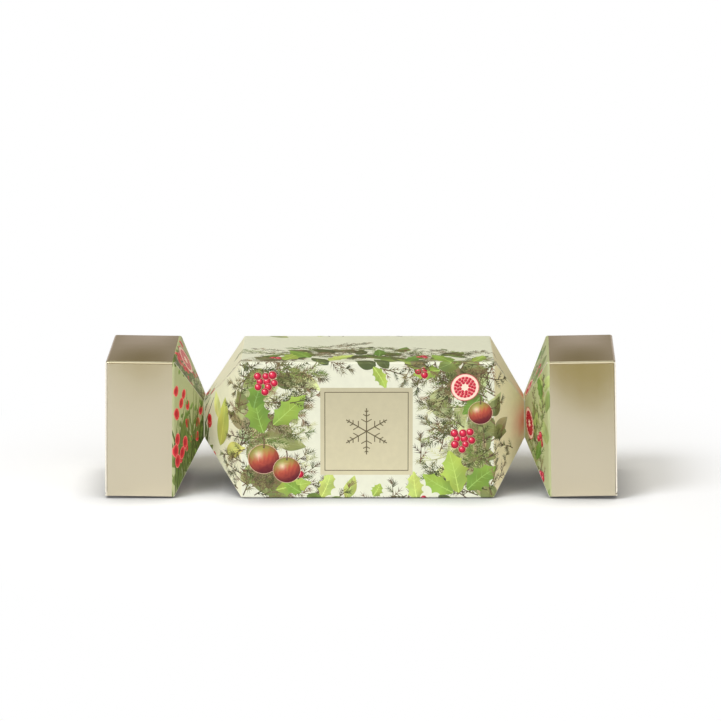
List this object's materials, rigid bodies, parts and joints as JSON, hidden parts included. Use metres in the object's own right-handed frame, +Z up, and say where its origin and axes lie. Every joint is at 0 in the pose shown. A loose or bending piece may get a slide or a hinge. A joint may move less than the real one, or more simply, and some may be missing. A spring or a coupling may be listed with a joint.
{
  "type": "christmas cracker gift carton",
  "caption": "Cracker-shaped folding gift carton: square body, pinched necks that unfold, tuck-lid end boxes and a tube of hand cream inside.",
  "frame": {"origin": "centre of the underside of the body's bottom panel, on the surface it stands on", "axes": "+X along the cracker, +Z up, +Y towards the back"},
  "size_m": [0.1874, 0.0514, 0.0509],
  "materials": {
    "printed_board": "satin",
    "gold_board": "satin",
    "plain_board": "matte",
    "sleeve_plastic": "satin",
    "shoulder_plastic": "satin",
    "cap_plastic": "satin",
    "seal_foil": "gloss",
    "hand_cream": "satin"
  },
  "bodies": {
    "body": {"body_front_panel": "printed_board", "body_top_panel": "printed_board", "body_back_panel": "printed_board", "body_bottom_panel": "printed_board", "body_glue_flap": "plain_board"},
    "right_body_taper_bottom": {"right_body_taper_bottom": "printed_board"},
    "right_end_taper_bottom": {"right_end_taper_bottom": "printed_board"},
    "right_end_box": {"right_end_panel_front": "gold_board", "right_end_panel_top": "gold_board", "right_end_panel_back": "gold_board", "right_end_panel_bottom": "gold_board", "right_end_glue_flap": "plain_board"},
    "right_body_taper_back": {"right_body_taper_back": "printed_board"},
    "right_body_taper_top": {"right_body_taper_top": "printed_board"},
    "right_body_taper_front": {"right_body_taper_front": "printed_board"},
    "right_end_taper_back": {"right_end_taper_back": "printed_board"},
    "right_end_taper_top": {"right_end_taper_top": "printed_board"},
    "right_end_taper_front": {"right_end_taper_front": "printed_board"},
    "right_lid": {"right_lid": "gold_board"},
    "right_tuck_flap": {"right_tuck_flap": "gold_board"},
    "right_dust_flap_front": {"right_dust_flap_front": "gold_board"},
    "right_dust_flap_back": {"right_dust_flap_back": "gold_board"},
    "left_body_taper_bottom": {"left_body_taper_bottom": "printed_board"},
    "left_end_taper_bottom": {"left_end_taper_bottom": "printed_board"},
    "left_end_box": {"left_end_panel_front": "gold_board", "left_end_panel_top": "gold_board", "left_end_panel_back": "gold_board", "left_end_panel_bottom": "gold_board", "left_end_glue_flap": "plain_board"},
    "left_body_taper_front": {"left_body_taper_front": "printed_board"},
    "left_body_taper_top": {"left_body_taper_top": "printed_board"},
    "left_body_taper_back": {"left_body_taper_back": "printed_board"},
    "left_end_taper_front": {"left_end_taper_front": "printed_board"},
    "left_end_taper_top": {"left_end_taper_top": "printed_board"},
    "left_end_taper_back": {"left_end_taper_back": "printed_board"},
    "left_lid": {"left_lid": "gold_board"},
    "left_tuck_flap": {"left_tuck_flap": "gold_board"},
    "left_dust_flap_front": {"left_dust_flap_front": "gold_board"},
    "left_dust_flap_back": {"left_dust_flap_back": "gold_board"},
    "tube": {"tube_sleeve": "sleeve_plastic", "tube_shoulder": "shoulder_plastic", "tube_foil_seal": "seal_foil", "tube_cream": "hand_cream"},
    "tube_cap": {"tube_cap": "cap_plastic"}
  },
  "joints": [
    {"name": "right_neck_unfold", "type": "hinge", "parent": "body", "child": "right_body_taper_bottom", "pos_m": [0.0455, 0, 0.00025], "axis": [0, 1, 0], "range_deg": [0, 56.95]},
    {"name": "right_neck_crease", "type": "hinge", "parent": "right_body_taper_bottom", "child": "right_end_taper_bottom", "pos_m": [0.05768, 0, 0.01885], "axis": [-0.0221, -0.9997, 0.012], "range_deg": [0, 120.16]},
    {"name": "right_end_box_crease", "type": "hinge", "parent": "right_end_taper_bottom", "child": "right_end_box", "pos_m": [0.06704, -0.00038, 0.00049], "axis": [0.0436, 0.999, 0.0011], "range_deg": [0, 64.69]},
    {"name": "right_body_crease_back", "type": "hinge", "parent": "body", "child": "right_body_taper_back", "pos_m": [0.0455, 0.02475, 0.025], "axis": [0, 0, 1], "range_deg": [0, 56.96]},
    {"name": "right_body_crease_top", "type": "hinge", "parent": "body", "child": "right_body_taper_top", "pos_m": [0.0455, 0, 0.04975], "axis": [0, -1, 0], "range_deg": [0, 56.96]},
    {"name": "right_body_crease_front", "type": "hinge", "parent": "body", "child": "right_body_taper_front", "pos_m": [0.0455, -0.02475, 0.025], "axis": [0, 0, -1], "range_deg": [0, 56.96]},
    {"name": "right_end_crease_back", "type": "hinge", "parent": "right_end_box", "child": "right_end_taper_back", "pos_m": [0.06747, 0.02434, 0.02526], "axis": [0.0262, 0, -0.9997], "range_deg": [0, 64.69]},
    {"name": "right_end_crease_top", "type": "hinge", "parent": "right_end_box", "child": "right_end_taper_top", "pos_m": [0.06574, -0.00038, 0.04997], "axis": [0.0436, 0.999, 0.0011], "range_deg": [0, 64.69]},
    {"name": "right_end_crease_front", "type": "hinge", "parent": "right_end_box", "child": "right_end_taper_front", "pos_m": [0.06531, -0.02511, 0.0252], "axis": [-0.0262, 0, 0.9997], "range_deg": [0, 64.69]},
    {"name": "right_lid_hinge", "type": "hinge", "parent": "right_end_box", "child": "right_lid", "pos_m": [0.08986, -0.00144, 0.0506], "axis": [-0.0436, -0.999, -0.0011], "range_deg": [0, 180]},
    {"name": "right_tuck_crease", "type": "hinge", "parent": "right_lid", "child": "right_tuck_flap", "pos_m": [0.09113, -0.00144, 0.00192], "axis": [-0.0436, -0.999, -0.0011], "range_deg": [0, 45.01]},
    {"name": "right_dust_crease_front", "type": "hinge", "parent": "right_end_box", "child": "right_dust_flap_front", "pos_m": [0.08863, -0.02613, 0.02581], "axis": [0.0262, 0, -0.9997], "range_deg": [0, 90.01]},
    {"name": "right_dust_crease_back", "type": "hinge", "parent": "right_end_box", "child": "right_dust_flap_back", "pos_m": [0.09079, 0.02332, 0.02587], "axis": [-0.0262, 0, 0.9997], "range_deg": [0, 90.01]},
    {"name": "left_neck_unfold", "type": "hinge", "parent": "body", "child": "left_body_taper_bottom", "pos_m": [-0.0455, 0, 0.00025], "axis": [0, -1, 0], "range_deg": [0, 52.64]},
    {"name": "left_neck_crease", "type": "hinge", "parent": "left_body_taper_bottom", "child": "left_end_taper_bottom", "pos_m": [-0.05974, 0, 0.01885], "axis": [0, 1, 0], "range_deg": [0, 113.11]},
    {"name": "left_end_box_crease", "type": "hinge", "parent": "left_end_taper_bottom", "child": "left_end_box", "pos_m": [-0.07025, 0, 0.0004], "axis": [0, -1, 0], "range_deg": [0, 61.27]},
    {"name": "left_body_crease_front", "type": "hinge", "parent": "body", "child": "left_body_taper_front", "pos_m": [-0.0455, -0.02475, 0.025], "axis": [0, 0, 1], "range_deg": [0, 52.65]},
    {"name": "left_body_crease_top", "type": "hinge", "parent": "body", "child": "left_body_taper_top", "pos_m": [-0.0455, 0, 0.04975], "axis": [0, 1, 0], "range_deg": [0, 52.65]},
    {"name": "left_body_crease_back", "type": "hinge", "parent": "body", "child": "left_body_taper_back", "pos_m": [-0.0455, 0.02475, 0.025], "axis": [0, 0, -1], "range_deg": [0, 52.65]},
    {"name": "left_end_crease_front", "type": "hinge", "parent": "left_end_box", "child": "left_end_taper_front", "pos_m": [-0.0699, -0.02475, 0.02514], "axis": [-0.014, 0, -0.9999], "range_deg": [0, 61.27]},
    {"name": "left_end_crease_top", "type": "hinge", "parent": "left_end_box", "child": "left_end_taper_top", "pos_m": [-0.06955, 0, 0.04989], "axis": [0, -1, 0], "range_deg": [0, 61.27]},
    {"name": "left_end_crease_back", "type": "hinge", "parent": "left_end_box", "child": "left_end_taper_back", "pos_m": [-0.0699, 0.02475, 0.02514], "axis": [0.014, 0, 0.9999], "range_deg": [0, 61.27]},
    {"name": "left_lid_hinge", "type": "hinge", "parent": "left_end_box", "child": "left_lid", "pos_m": [-0.094, 0, 0.05023], "axis": [0, 1, 0], "range_deg": [0, 180]},
    {"name": "left_tuck_crease", "type": "hinge", "parent": "left_lid", "child": "left_tuck_flap", "pos_m": [-0.09468, 0, 0.00154], "axis": [0, 1, 0], "range_deg": [0, 45.01]},
    {"name": "left_dust_crease_front", "type": "hinge", "parent": "left_end_box", "child": "left_dust_flap_front", "pos_m": [-0.09355, -0.02475, 0.02547], "axis": [0.014, 0, 0.9999], "range_deg": [0, 90.01]},
    {"name": "left_dust_crease_back", "type": "hinge", "parent": "left_end_box", "child": "left_dust_flap_back", "pos_m": [-0.09355, 0.02475, 0.02547], "axis": [-0.014, 0, -0.9999], "range_deg": [0, 90.01]},
    {"name": "tube_slide", "type": "slide", "parent": "body", "child": "tube", "axis": [1, 0, 0], "range_m": [-0.0025, 0.0025]},
    {"name": "cap_turn", "type": "hinge", "parent": "tube", "child": "tube_cap", "pos_m": [0.03685, 0, 0.01852], "axis": [0.9771, 0, 0.2128], "range_deg": [0, 540]}
  ],
  "couplings": [
    {"joint": "right_neck_crease", "follows": "right_neck_unfold", "ratio": 2.1096},
    {"joint": "right_end_box_crease", "follows": "right_neck_unfold", "ratio": 1.1356},
    {"joint": "right_body_crease_back", "follows": "right_neck_unfold", "ratio": 1},
    {"joint": "right_body_crease_top", "follows": "right_neck_unfold", "ratio": 1},
    {"joint": "right_body_crease_front", "follows": "right_neck_unfold", "ratio": 1},
    {"joint": "right_end_crease_back", "follows": "right_neck_unfold", "ratio": 1.1356},
    {"joint": "right_end_crease_top", "follows": "right_neck_unfold", "ratio": 1.1356},
    {"joint": "right_end_crease_front", "follows": "right_neck_unfold", "ratio": 1.1356},
    {"joint": "right_tuck_crease", "follows": "right_lid_hinge", "ratio": 0.25},
    {"joint": "right_dust_crease_front", "follows": "right_lid_hinge", "ratio": 0.5},
    {"joint": "right_dust_crease_back", "follows": "right_lid_hinge", "ratio": 0.5},
    {"joint": "left_neck_crease", "follows": "left_neck_unfold", "ratio": 2.1486},
    {"joint": "left_end_box_crease", "follows": "left_neck_unfold", "ratio": 1.1637},
    {"joint": "left_body_crease_front", "follows": "left_neck_unfold", "ratio": 1},
    {"joint": "left_body_crease_top", "follows": "left_neck_unfold", "ratio": 1},
    {"joint": "left_body_crease_back", "follows": "left_neck_unfold", "ratio": 1},
    {"joint": "left_end_crease_front", "follows": "left_neck_unfold", "ratio": 1.1637},
    {"joint": "left_end_crease_top", "follows": "left_neck_unfold", "ratio": 1.1637},
    {"joint": "left_end_crease_back", "follows": "left_neck_unfold", "ratio": 1.1637},
    {"joint": "left_tuck_crease", "follows": "left_lid_hinge", "ratio": 0.25},
    {"joint": "left_dust_crease_front", "follows": "left_lid_hinge", "ratio": 0.5},
    {"joint": "left_dust_crease_back", "follows": "left_lid_hinge", "ratio": 0.5}
  ]
}
